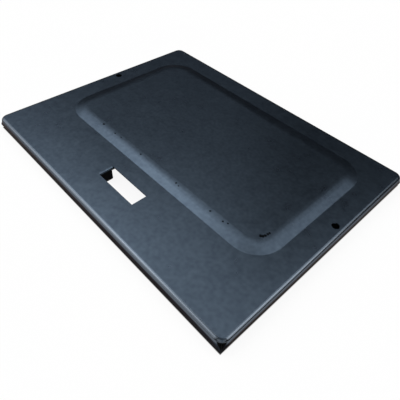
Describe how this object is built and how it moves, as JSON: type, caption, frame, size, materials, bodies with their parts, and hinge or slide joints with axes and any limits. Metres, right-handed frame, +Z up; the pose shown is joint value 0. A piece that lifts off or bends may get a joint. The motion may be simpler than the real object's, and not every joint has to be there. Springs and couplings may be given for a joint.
{
  "type": "rectangular cover plate",
  "caption": "Rectangular pressed sheet-metal cover plate with a folded flange, a low raised panel, a finger slot with a bent-down tongue and a fixing hole by each short edge.",
  "frame": {"origin": "centre of the bounding box on the level of the tongue's tip, the lowest point", "axes": "+X along the long side, away from the slot end that carries the tongue; +Y across, from the slot's edge towards the raised panel; +Z up through the panel"},
  "size_m": [0.46, 0.352, 0.022],
  "materials": {
    "dark_paint": "satin"
  },
  "bodies": {
    "root": {"cover_plate": "dark_paint"}
  },
  "joints": []
}
